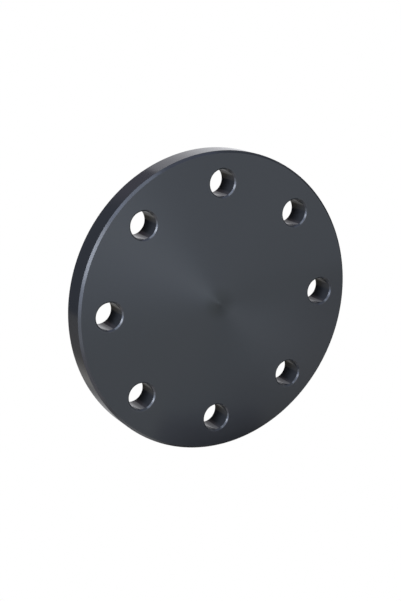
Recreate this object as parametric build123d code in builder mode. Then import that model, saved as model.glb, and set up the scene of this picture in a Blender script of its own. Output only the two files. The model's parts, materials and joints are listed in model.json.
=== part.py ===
from build123d import *
import os

# Blind flange: one solid disc, turned all over and drilled on a bolt circle.
# Lengths in mm. The origin is the centre of the back face, which is the face that
# seals, and +Z points out of the front face.
# +X and +Y each run through the middle of a bolt hole.

# ---- driving dimensions ----
outside_d = 202.0          # turned rim
thickness = 17.5           # back face to front face
bolt_circle_d = 160.0      # circle through the hole centres
bolt_hole_d = 18.0         # clearance hole for an M16 bolt
bolt_hole_count = 8
rim_chamfer = 1.6          # 45 degree chamfer round the front edge of the rim
rim_back_break = 0.5       # 45 degree edge break round the back edge of the rim
hole_chamfer = 1.0         # 45 degree chamfer at the mouth of each hole, front face
hole_back_break = 0.3      # edge break where the drill came out, back face

r_out = outside_d / 2

with BuildPart() as blind_flange:
    # half section of the turned disc, from the axis out to the rim
    with BuildSketch(Plane.XZ) as half_section:
        with BuildLine():
            Polyline(
                (0, 0),
                (r_out - rim_back_break, 0),
                (r_out, rim_back_break),
                (r_out, thickness - rim_chamfer),
                (r_out - rim_chamfer, thickness),
                (0, thickness),
                close=True,
            )
        make_face()
    revolve(axis=Axis.Z)

    # bolt holes, drilled straight through from the front face
    with Locations(Plane.XY.offset(thickness)):
        with PolarLocations(bolt_circle_d / 2, bolt_hole_count):
            Hole(radius=bolt_hole_d / 2)

    # the mouths of the holes: every small circle on the front, then on the back
    hole_edges = blind_flange.edges().filter_by(GeomType.CIRCLE).filter_by(
        lambda e: abs(e.radius - bolt_hole_d / 2) < 0.01
    )
    front_mouths = hole_edges.filter_by(lambda e: e.center().Z > thickness / 2)
    back_mouths = hole_edges.filter_by(lambda e: e.center().Z < thickness / 2)
    chamfer(front_mouths, length=hole_chamfer)
    chamfer(back_mouths, length=hole_back_break)

blind_flange.part.label = "blind_flange"

os.makedirs("parts", exist_ok=True)
export_step(blind_flange.part, "parts/blind_flange.step")

print("volume cm3", round(blind_flange.part.volume / 1000, 2))
print("faces", len(blind_flange.part.faces()), "box", blind_flange.part.bounding_box())
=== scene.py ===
import bpy
import json
import math
from mathutils import Matrix, Vector
from mathutils.geometry import delaunay_2d_cdt


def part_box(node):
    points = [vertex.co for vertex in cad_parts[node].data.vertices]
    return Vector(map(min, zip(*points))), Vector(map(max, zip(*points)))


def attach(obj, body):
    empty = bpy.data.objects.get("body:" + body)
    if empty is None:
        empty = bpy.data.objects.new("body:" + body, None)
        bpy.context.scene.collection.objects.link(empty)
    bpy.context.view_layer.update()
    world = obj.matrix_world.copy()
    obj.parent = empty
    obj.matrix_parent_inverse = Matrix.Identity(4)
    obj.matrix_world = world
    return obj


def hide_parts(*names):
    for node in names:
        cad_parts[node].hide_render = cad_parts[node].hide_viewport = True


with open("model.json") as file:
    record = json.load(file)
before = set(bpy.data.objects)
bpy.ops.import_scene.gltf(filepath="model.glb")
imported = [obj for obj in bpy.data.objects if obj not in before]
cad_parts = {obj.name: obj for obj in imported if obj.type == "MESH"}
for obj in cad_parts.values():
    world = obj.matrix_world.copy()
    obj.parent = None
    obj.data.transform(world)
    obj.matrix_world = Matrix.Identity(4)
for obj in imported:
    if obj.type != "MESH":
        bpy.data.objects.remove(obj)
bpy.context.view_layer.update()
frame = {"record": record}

scene = bpy.context.scene

MM = 0.001

# ---------------------------------------------------------------- sizes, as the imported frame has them
lo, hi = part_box("blind_flange")
R = (hi[0] - lo[0]) / 2            # rim radius
T = hi[2]                          # thickness
BOLTS = next(m for m in frame["record"]["mounts"] if m["name"] == "bolt_circle")["dims"]
PCR = BOLTS["pcd_mm"] / 2 * MM
HOLE_R = BOLTS["hole_r_mm"] * MM
COUNT = int(BOLTS["count"])
RIM_CH = 1.6 * MM                  # front rim chamfer
RIM_BACK = 0.5 * MM                # back rim edge break
MOUTH_CH = 1.0 * MM                # hole chamfer, front
MOUTH_BACK = 0.3 * MM              # hole edge break, back
SOFT = 0.16 * MM                   # radius left on a turned edge
MOUTH_SOFT = 0.35 * MM             # the same on the hole chamfers, which are hand-finished
RIM_SEGS = 576
HOLE_SEGS = 128


# ---------------------------------------------------------------- the disc's mesh
def rounded(corners, radii, steps=4):
    """(r, z, normal r, normal z) along a profile of straight runs whose inner corners are rounded.
    The material lies on the right of the direction of travel. The first and last runs are left out: they lie in the flat faces."""
    out = []
    for i in range(1, len(corners) - 1):
        a, b, c = (Vector(corners[j]) for j in (i - 1, i, i + 1))
        d0, d1 = (b - a).normalized(), (c - b).normalized()
        turn = d0.angle(d1)
        cut = radii[i - 1] * math.tan(turn / 2)
        p0, p1 = b - d0 * cut, b + d1 * cut
        n0, n1 = Vector((-d0.y, d0.x)), Vector((-d1.y, d1.x))
        if (d0.x * d1.y - d0.y * d1.x) > 0:      # turns left: the arc's centre is on the open side
            centre, sign = p0 + n0 * radii[i - 1], -1
        else:
            centre, sign = p0 - n0 * radii[i - 1], 1
        for k in range(steps + 1):
            f = k / steps
            n = n0.slerp(n1, f) if turn > 1e-4 else n0
            p = centre + n * (radii[i - 1] * sign)
            out.append((p.x, p.y, n.x, n.y))
    return out


class Shell:
    """Collects vertices, faces, corner normals, a material index for each face and a UV along and across the cutter's path."""

    def __init__(self):
        self.verts, self.index = [], {}
        self.faces, self.normals, self.mats, self.uvs = [], [], [], []

    def vert(self, p):
        p = tuple(Vector(p))                         # single precision first, so that faces and rings meet in the same points
        key = (round(p[0] * 1e7), round(p[1] * 1e7), round(p[2] * 1e7))
        if key not in self.index:
            self.index[key] = len(self.verts)
            self.verts.append(p)
        return self.index[key]

    def face(self, points, normals, mat, uvs):
        self.faces.append([self.vert(p) for p in points])
        self.normals.extend(normals)
        self.mats.append(mat)
        self.uvs.extend(uvs)

    def revolve(self, profile, segs, mats, cx=0.0, cy=0.0, start=0.0):
        """Turns the profile about an upright axis at cx, cy. Its normals point out of the material."""
        ring = [(math.cos(start + 2 * math.pi * j / segs), math.sin(start + 2 * math.pi * j / segs)) for j in range(segs)]
        along = [0.0]
        for a, b in zip(profile, profile[1:]):
            along.append(along[-1] + math.hypot(b[0] - a[0], b[1] - a[1]))
        mean_r = sum(p[0] for p in profile) / len(profile)
        for i, (a, b) in enumerate(zip(profile, profile[1:])):
            for j in range(segs):
                quad, norm, uv = [], [], []
                for (q, jj, s) in ((a, j, i), (a, j + 1, i), (b, j + 1, i + 1), (b, j, i + 1)):
                    c, sn = ring[jj % segs]
                    quad.append((cx + q[0] * c, cy + q[0] * sn, q[1]))
                    norm.append((q[2] * c, q[2] * sn, q[3]))
                    uv.append((2 * math.pi * jj / segs * mean_r / 0.01, along[s] / 0.01))
                face_n = (Vector(quad[1]) - Vector(quad[0])).cross(Vector(quad[3]) - Vector(quad[0]))
                if face_n.dot(Vector(norm[0])) < 0:
                    quad, norm, uv = quad[::-1], norm[::-1], uv[::-1]
                self.face(quad, norm, mats[i], uv)

    def flat(self, z, outer_r, holes, up, mat):
        """A flat face with round holes, meshed in rings so that no triangle is long and thin."""
        pts, edges = [], []

        def loop(cx, cy, r, segs):
            base = len(pts)
            for j in range(segs):
                a = 2 * math.pi * j / segs
                pts.append(Vector((cx + r * math.cos(a), cy + r * math.sin(a))))
                edges.append((base + j, base + (j + 1) % segs))

        loop(0, 0, outer_r, RIM_SEGS)
        for cx, cy, r in holes:
            loop(cx, cy, r, HOLE_SEGS)
        rings = 26
        for k in range(rings):
            r = outer_r * k / rings
            n = max(1, min(RIM_SEGS, int(round(2 * math.pi * r / (outer_r / rings)))))
            for j in range(n):
                a = 2 * math.pi * (j + 0.5 * (k % 2)) / n
                p = Vector((r * math.cos(a), r * math.sin(a)))
                if all((p - Vector((cx, cy))).length > hr + 0.0012 for cx, cy, hr in holes):
                    pts.append(p)
        for cx, cy, hr in holes:                       # a few rings round each mouth
            for step, n in ((1.10, 96), (1.28, 64)):
                for j in range(n):
                    a = 2 * math.pi * (j + 0.5) / n
                    p = Vector((cx + hr * step * math.cos(a), cy + hr * step * math.sin(a)))
                    if p.length < outer_r - 0.0008:
                        pts.append(p)
        got = delaunay_2d_cdt(pts, edges, [], 1, 1e-9)
        coords, tris = got[0], got[2]
        n = (0.0, 0.0, 1.0 if up else -1.0)
        for tri in tris:
            mid = (coords[tri[0]] + coords[tri[1]] + coords[tri[2]]) / 3
            if any((mid - Vector((cx, cy))).length < hr for cx, cy, hr in holes):
                continue
            ps = [coords[i] for i in tri]
            area = (ps[1] - ps[0]).cross(ps[2] - ps[0])
            if (area > 0) != up:
                ps = ps[::-1]
            self.face([(p.x, p.y, z) for p in ps], [n] * 3, mat, [(p.x / 0.01, p.y / 0.01) for p in ps])


FACE, RIM, BORE, EDGE, MOUTH = 0, 1, 2, 3, 4
rim = rounded(
    [(R - 0.02, 0), (R - RIM_BACK, 0), (R, RIM_BACK), (R, T - RIM_CH), (R - RIM_CH, T), (R - 0.02, T)],
    [SOFT, SOFT, SOFT, SOFT],
)
# travelling from back to front outside the rim keeps the material on the left, so the normals are turned round
rim = [(r, z, -nr, -nz) for r, z, nr, nz in rim]
bore = rounded(
    [(HOLE_R + 0.01, 0), (HOLE_R + MOUTH_BACK, 0), (HOLE_R, MOUTH_BACK), (HOLE_R, T - MOUTH_CH), (HOLE_R + MOUTH_CH, T), (HOLE_R + 0.01, T)],
    [0.08 * MM, 0.08 * MM, MOUTH_SOFT, MOUTH_SOFT],
)

shell = Shell()
steps = 4
rim_mats = [EDGE] * (2 * steps + 1) + [RIM] + [EDGE] * (2 * steps + 1)
bore_mats = [MOUTH] * (2 * steps + 1) + [BORE] + [MOUTH] * (2 * steps + 1)
shell.revolve(rim, RIM_SEGS, rim_mats)
centres = [(PCR * math.cos(2 * math.pi * k / COUNT), PCR * math.sin(2 * math.pi * k / COUNT)) for k in range(COUNT)]
for cx, cy in centres:
    shell.revolve(bore, HOLE_SEGS, bore_mats, cx, cy)
shell.flat(T, rim[-1][0], [(cx, cy, bore[-1][0]) for cx, cy in centres], True, FACE)
shell.flat(0.0, rim[0][0], [(cx, cy, bore[0][0]) for cx, cy in centres], False, FACE)

mesh = bpy.data.meshes.new("turned_disc")
mesh.from_pydata(shell.verts, [], shell.faces)
mesh.polygons.foreach_set("material_index", shell.mats)
mesh.polygons.foreach_set("use_smooth", [True] * len(shell.faces))
layer = mesh.uv_layers.new(name="cut")
layer.data.foreach_set("uv", [x for uv in shell.uvs for x in uv])
mesh.normals_split_custom_set(shell.normals)
mesh.update()
disc = bpy.data.objects.new("turned_disc", mesh)
scene.collection.objects.link(disc)
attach(disc, "root")
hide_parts("blind_flange")


# ---------------------------------------------------------------- materials
def socket(node, name):
    return node.inputs[name]


class Nodes:
    """Short calls for building a node tree."""

    def __init__(self, tree):
        self.tree = tree

    def new(self, kind, **props):
        node = self.tree.nodes.new(kind)
        for k, v in props.items():
            setattr(node, k, v)
        return node

    def link(self, a, b):
        self.tree.links.new(a, b)

    def put(self, target, value):
        if isinstance(value, bpy.types.NodeSocket):
            self.link(value, target)
        else:
            target.default_value = value

    def math(self, op, a, b=None, c=None, clamp=False):
        node = self.new("ShaderNodeMath", operation=op, use_clamp=clamp)
        for i, v in enumerate((a, b, c)):
            if v is not None:
                self.put(node.inputs[i], v)
        return node.outputs[0]

    def ramp(self, value, a, b, c, d):
        node = self.new("ShaderNodeMapRange")
        for i, v in enumerate((value, a, b, c, d)):
            self.put(node.inputs[i], v)
        return node.outputs[0]

    def noise(self, vector, scale, detail=2.0, rough=0.5, dims="3D", w=None):
        node = self.new("ShaderNodeTexNoise", noise_dimensions=dims)
        if dims != "1D":
            self.link(vector, node.inputs["Vector"])
        else:
            self.link(w, node.inputs["W"])
        node.inputs["Scale"].default_value = scale
        node.inputs["Detail"].default_value = detail
        node.inputs["Roughness"].default_value = rough
        return node.outputs["Fac"]

    def mix(self, fac, a, b):
        node = self.new("ShaderNodeMix", data_type="RGBA")
        self.put(node.inputs[0], fac)
        self.put(node.inputs[6], a)
        self.put(node.inputs[7], b)
        return node.outputs[2]


def pvc(name, across, base, roughness, aniso, groove, groove_depth, tangent, lean=0.0, burnish=0.0):
    """Machined dark grey plastic. across is the coordinate that the cutter's feed ran along: "r" on a flat face, "z" on a
    rim, chamfer or hole wall. groove is the feed in metres. lean is the mean slope of the grooves' long flanks, outward. burnish is how
    far the tool has rubbed the crests to a second, closer shine."""
    mat = bpy.data.materials.new(name)
    mat.use_nodes = True
    tree = mat.node_tree
    tree.nodes.clear()
    n = Nodes(tree)
    out = n.new("ShaderNodeOutputMaterial")
    bsdf = n.new("ShaderNodeBsdfPrincipled")
    n.link(bsdf.outputs[0], out.inputs[0])
    where = n.new("ShaderNodeTexCoord").outputs["Object"]
    xyz = n.new("ShaderNodeSeparateXYZ")
    n.link(where, xyz.inputs[0])
    x, y, z = xyz.outputs
    if across == "r":
        feed = n.math("SQRT", n.math("ADD", n.math("MULTIPLY", x, x), n.math("MULTIPLY", y, y)))
    else:
        feed = z
    passes = n.math("DIVIDE", feed, groove)                       # which pass of the cutter, counted from the axis or the back
    # the tool's marks: a scalloped groove for each pass, uneven in depth, with coarser bands where the feed or the load changed
    saw = n.math("ABSOLUTE", n.math("SUBTRACT", n.math("FRACT", passes), 0.5))
    uneven = n.noise(None, 1.0, 2.0, 0.6, "1D", passes)
    bands = n.noise(None, 0.09, 2.0, 0.5, "1D", passes)
    cloud = n.noise(where, 26.0, 3.0, 0.55)
    speck = n.noise(where, 2300.0, 1.0, 0.6)
    height = n.math("ADD", n.math("MULTIPLY", saw, 0.5), n.math("MULTIPLY", uneven, 0.5))
    height = n.math("ADD", height, n.math("MULTIPLY", speck, 0.12))
    bump = n.new("ShaderNodeBump")
    bump.inputs["Strength"].default_value = 1.0
    bump.inputs["Distance"].default_value = groove_depth
    n.link(height, bump.inputs["Height"])
    if lean:
        outward = n.new("ShaderNodeCombineXYZ")
        n.link(x, outward.inputs[0])
        n.link(y, outward.inputs[1])
        unit = n.new("ShaderNodeVectorMath", operation="NORMALIZE")
        n.link(outward.outputs[0], unit.inputs[0])
        slope = n.new("ShaderNodeVectorMath", operation="SCALE", name="lean")
        n.link(unit.outputs[0], slope.inputs[0])
        slope.inputs["Scale"].default_value = lean
        total = n.new("ShaderNodeVectorMath", operation="ADD")
        n.link(n.new("ShaderNodeNewGeometry").outputs["Normal"], total.inputs[0])
        n.link(slope.outputs[0], total.inputs[1])
        flank = n.new("ShaderNodeVectorMath", operation="NORMALIZE")
        n.link(total.outputs[0], flank.inputs[0])
        n.link(flank.outputs[0], bump.inputs["Normal"])
    n.link(bump.outputs[0], bsdf.inputs["Normal"])
    # colour: a little lighter on the crests, cloudy over centimetres, slight banding
    shade = n.math("ADD", n.math("MULTIPLY", n.math("SUBTRACT", cloud, 0.5), 0.20), n.math("MULTIPLY", n.math("SUBTRACT", bands, 0.5), 0.10))
    shade = n.math("ADD", shade, n.math("MULTIPLY", n.math("SUBTRACT", uneven, 0.5), 0.05))
    dark = tuple(c * 0.8 for c in base) + (1.0,)
    light = tuple(c * 1.2 for c in base) + (1.0,)
    colour = n.mix(n.math("ADD", shade, 0.5, clamp=True), dark, light)
    painted_shade_and_gloss = None
    if across == "r":
        # the cutter slows to nothing at the axis. Painted shade: the middle is coloured darker out to 14 mm for the
        # dark sides of the reflection about the axis, all but the pip that broke off last, which keeps the plain colour
        # so that the reflected streak through it stays bright; the middle is also a little glossier
        rings = []
        for near, far, a, b in ((3.0, 14.0, 1.0, 0.0), (0.2, 1.8, 0.3, 1.0)):
            node = n.new("ShaderNodeMapRange", interpolation_type="SMOOTHSTEP")
            for i, v in enumerate((feed, near * MM, far * MM, a, b)):
                n.put(node.inputs[i], v)
            rings.append(node.outputs[0])
        painted_shade_and_gloss = n.math("MULTIPLY", *rings)
        # painted shade: the middle of the face takes a darker colour
        colour = n.mix(painted_shade_and_gloss, colour, tuple(c * 0.65 for c in base) + (1.0,))
    n.link(colour, bsdf.inputs["Base Color"])
    rough = n.math("ADD", n.math("MULTIPLY", n.math("SUBTRACT", bands, 0.5), 0.06), n.math("MULTIPLY", n.math("SUBTRACT", uneven, 0.5), 0.04))
    rough = n.math("ADD", rough, n.math("MULTIPLY", n.math("SUBTRACT", cloud, 0.5), 0.05))
    if painted_shade_and_gloss is not None:
        rough = n.math("SUBTRACT", rough, n.math("MULTIPLY", painted_shade_and_gloss, 0.10))
    n.link(n.math("ADD", rough, roughness, clamp=True), bsdf.inputs["Roughness"])
    bsdf.inputs["Roughness"].links[0].from_node.name = "rough_base"
    bsdf.inputs["IOR"].default_value = 1.53
    bsdf.inputs["Coat Weight"].default_value = burnish
    bsdf.inputs["Coat Roughness"].default_value = 0.06
    bsdf.inputs["Anisotropic"].default_value = aniso
    bsdf.inputs["Anisotropic Rotation"].default_value = 0.25       # the marks run round, so they spread light across
    if tangent == "axis":
        t = n.new("ShaderNodeTangent", direction_type="RADIAL", axis="Z")
        n.link(t.outputs[0], bsdf.inputs["Tangent"])
    elif tangent == "uv":
        t = n.new("ShaderNodeTangent", direction_type="UV_MAP", uv_map="cut")
        n.link(t.outputs[0], bsdf.inputs["Tangent"])
    return mat


GREY = (0.056, 0.058, 0.061)
FACE_MAT = pvc("pvc_faced", "r", GREY, 0.38, 0.9, 0.22 * MM, 0.0015 * MM, "axis", lean=0.09)
RIM_MAT = pvc("pvc_turned_rim", "z", GREY, 0.12, 0.4, 0.30 * MM, 0.003 * MM, "axis")
BORE_MAT = pvc("pvc_bored", "z", GREY, 0.12, 0.3, 0.25 * MM, 0.002 * MM, "uv")
EDGE_MAT = pvc("pvc_chamfer", "z", GREY, 0.15, 0.3, 0.12 * MM, 0.001 * MM, "uv")
MOUTH_MAT = pvc("pvc_hole_chamfer", "z", GREY, 0.13, 0.3, 0.12 * MM, 0.0005 * MM, "uv", burnish=0.55)
for m in (FACE_MAT, RIM_MAT, BORE_MAT, EDGE_MAT, MOUTH_MAT):
    mesh.materials.append(m)


# ---------------------------------------------------------------- camera, at the photo's viewing angle
cam_data = bpy.data.cameras.new("camera")
cam = bpy.data.objects.new("camera", cam_data)
scene.collection.objects.link(cam)
cam_data.sensor_fit = "AUTO"
cam_data.sensor_width = 36.0
cam_data.lens = 71.115
cam_data.clip_start = 0.01
cam_data.clip_end = 50.0
cam_x = Vector((0.8709125, 0.0237446, 0.4908642))
cam_y = Vector((0.1061420, 0.9661684, -0.2350583))
cam_z = Vector((-0.4798388, 0.2568165, 0.8389279))
cam.matrix_world = Matrix.Translation((-0.3870231, 0.2028730, 0.6687311)) @ Matrix((cam_x, cam_y, cam_z)).transposed().to_4x4()
scene.camera = cam


# ---------------------------------------------------------------- stage: a plain white floor and backdrop, a card and a net
def plain(name, level):
    """A shadeless material: white for the floor and backdrop, black for the card that keeps light off."""
    mat = bpy.data.materials.new(name)
    mat.use_nodes = True
    tree = mat.node_tree
    tree.nodes.clear()
    n = Nodes(tree)
    out = n.new("ShaderNodeOutputMaterial")
    glow = n.new("ShaderNodeEmission")
    glow.inputs[0].default_value = (1, 1, 1, 1)
    glow.inputs[1].default_value = level
    n.link(glow.outputs[0], out.inputs[0])
    return mat


def stage_mesh(name, verts, faces, level, camera):
    """A stage piece that only the camera sees, or that only the light meets."""
    m = bpy.data.meshes.new(name)
    m.from_pydata(verts, [], faces)
    o = bpy.data.objects.new(name, m)
    scene.collection.objects.link(o)
    m.materials.append(plain(name + "_plain", level))
    o.visible_camera = camera
    for ray in ("visible_diffuse", "visible_glossy", "visible_transmission", "visible_volume_scatter", "visible_shadow"):
        setattr(o, ray, not camera)
    return o


FAR = 9.0
around = [(math.cos(2 * math.pi * j / 96), math.sin(2 * math.pi * j / 96)) for j in range(96)]
floor = stage_mesh("floor", [(FAR * c, FAR * s, -0.00005) for c, s in around], [list(range(96))], 1.0, True)
rise = [(math.cos(math.radians(a)), math.sin(math.radians(a))) for a in (0, 15, 30, 45, 60, 75, 88)]
backdrop = stage_mesh(
    "backdrop",
    [(FAR * h * c, FAR * h * s, FAR * v - 0.00005) for h, v in rise for c, s in around],
    [[k * 96 + j, k * 96 + (j + 1) % 96, (k + 1) * 96 + (j + 1) % 96, (k + 1) * 96 + j] for k in range(len(rise) - 1) for j in range(96)],
    1.0,
    True,
)

# the studio's own axes: right, up and front, for someone who faces the part as the photograph does
RIGHT = Vector((0.871, 0.024, 0.491))
UP = Vector((0.106, 0.966, -0.235))
FRONT = Vector((-0.480, 0.257, 0.839))

# a black card hangs over the part's lower edge and keeps light off it; a warm net beside it thins the light on the lower right
def hang(name, thins, height, corners):
    """A flat stage piece above the face that only light meets. thins is the light that it lets through, None for a solid card."""
    o = stage_mesh(name, [(x, y, T + height) for x, y in corners], [list(range(len(corners)))], 0.0, False)
    if thins:
        n = Nodes(o.data.materials[0].node_tree)
        through = n.new("ShaderNodeBsdfTransparent")
        through.inputs[0].default_value = thins + (1.0,)
        n.link(through.outputs[0], next(k for k in n.tree.nodes if k.type == "OUTPUT_MATERIAL").inputs[0])
    return o


card = hang("card", None, 0.031, ((-0.029, -0.134), (0.052, -0.134), (0.052, -0.085), (-0.029, -0.085)))
net = hang("net", (0.62, 0.57, 0.50), 0.060, ((0.03, -0.30), (0.34, -0.30), (0.34, 0.0), (0.12, 0.0), (0.03, -0.09)))

# ---------------------------------------------------------------- light: a studio of soft panels and sweeps, all far away
# Each panel has a name, yaw from, to (0 in front, 90 to the right, 180 behind the part), pitch from, to, how soft its edges
# are, and its light.
PANELS = [
    ("left", -42, -8, -24, 34, 14, (1.24, 1.41, 1.93)),
    ("left_core", -36, -20, -8, 24, 10, (3.25, 3.44, 3.79)),
    ("left_hot", -36, -24, -12, 14, 8, (1.57, 1.73, 1.98)),
    ("left_up", -26, 10, 28, 58, 16, (1.72, 1.97, 2.52)),
    ("left_foot", -50, -28, -42, -10, 14, (1.08, 1.18, 1.34)),
    ("left_low", -85, -36, -74, -36, 20, (0.5, 0.46, 0.48)),
    ("right", 22, 42, -18, 4, 10, (0.5, 0.68, 0.95)),
    ("right_foot", 42, 68, -36, -10, 12, (0.4, 0.51, 0.43)),
    ("right_near", -2, 22, -4, 18, 12, (2.25, 2.2, 2.18)),
    ("right_wide", 12, 100, -30, 40, 24, (0.5, 0.53, 0.6)),
    ("top_mid", 0, 75, 50, 74, 16, (0.24, 0.27, 0.45)),
    ("back", 166, 204, -6, 70, 2.5, (0.67, 0.66, 0.7)),
    ("back_core", 170, 197, 4, 36, 12, (0.35, 0.36, 0.36)),
    ("back_edge", 204, 226, 26, 60, 6, (0.13, 0.11, 0.13)),
    ("table_core", 166, 198, -22, -5, 8, (0.16, 0.16, 0.17)),
    ("table_back", 166, 214, -46, -5, 12, (0.27, 0.27, 0.27)),
    ("table_left", 205, 246, -40, -4.5, 1.5, (0.13, 0.12, 0.1)),
    ("under", -180, 180, -100, -60, 20, (0.13, 0.11, 0.08)),
    ("low", 0, 80, -70, -36, 20, (0.12, 0.1, 0.07)),
]
world = bpy.data.worlds.new("studio")
scene.world = world
world.use_nodes = True
world.node_tree.nodes.clear()
w = Nodes(world.node_tree)
sky = w.new("ShaderNodeOutputWorld")
glow = w.new("ShaderNodeBackground")
w.link(glow.outputs[0], sky.inputs[0])
aim = w.new("ShaderNodeTexCoord").outputs["Generated"]


def along(axis):
    node = w.new("ShaderNodeVectorMath", operation="DOT_PRODUCT")
    w.link(aim, node.inputs[0])
    node.inputs[1].default_value = axis
    return node.outputs["Value"]


yaw = w.math("ARCTAN2", along(RIGHT), along(FRONT))
pitch = w.math("ARCSINE", along(UP), clamp=False)


def window(angle, lowest, highest, soft, wraps):
    """1 inside the range of angles, 0 outside, with a smooth edge."""
    mid, half, soft = (math.radians(v) for v in ((lowest + highest) / 2, (highest - lowest) / 2, soft))
    off = w.math("SUBTRACT", angle, mid)
    if wraps:
        off = w.math("WRAP", off, math.pi, -math.pi)
    fade = w.new("ShaderNodeMapRange", interpolation_type="SMOOTHSTEP")
    for i, v in enumerate((w.math("ABSOLUTE", off), half - soft / 2, half + soft / 2, 1.0, 0.0)):
        w.put(fade.inputs[i], v)
    return fade.outputs[0]


light = None
for name, yaw0, yaw1, pitch0, pitch1, soft, colour in PANELS:
    shape = window(pitch, pitch0, pitch1, soft, False)
    if yaw1 - yaw0 < 360:
        shape = w.math("MULTIPLY", shape, window(yaw, yaw0, yaw1, soft, True))
    panel = w.new("ShaderNodeVectorMath", operation="SCALE", name="panel_" + name)
    panel.inputs[0].default_value = colour
    w.link(shape, panel.inputs["Scale"])
    if light is None:
        light = panel.outputs[0]
    else:
        total = w.new("ShaderNodeVectorMath", operation="ADD")
        w.link(light, total.inputs[0])
        w.link(panel.outputs[0], total.inputs[1])
        light = total.outputs[0]

# a low strip on the near and right side, for the part of the rim that the photograph doesn't show
level =along(Vector((0.0, 0.0, 1.0)))
away = along(Vector((0.707, -0.707, 0.0)))
strip = w.math("MULTIPLY", w.ramp(level, -0.16, -0.10, 0.0, 1.0), w.ramp(level, 0.02, 0.08, 1.0, 0.0))
strip = w.math("MULTIPLY", strip, w.ramp(away, 0.2, 0.5, 0.0, 1.0))
fill = w.new("ShaderNodeVectorMath", operation="SCALE", name="fill")
fill.inputs[0].default_value = (0.8, 0.82, 0.86)
w.link(strip, fill.inputs["Scale"])
total = w.new("ShaderNodeVectorMath", operation="ADD")
w.link(light, total.inputs[0])
w.link(fill.outputs[0], total.inputs[1])
w.link(total.outputs[0], glow.inputs[0])
world.cycles.sampling_method = "MANUAL"
world.cycles.sample_map_resolution = 512

scene.view_settings.view_transform = "Standard"
scene.view_settings.look = "None"
scene.view_settings.exposure = 0.0
scene.view_settings.gamma = 1.0
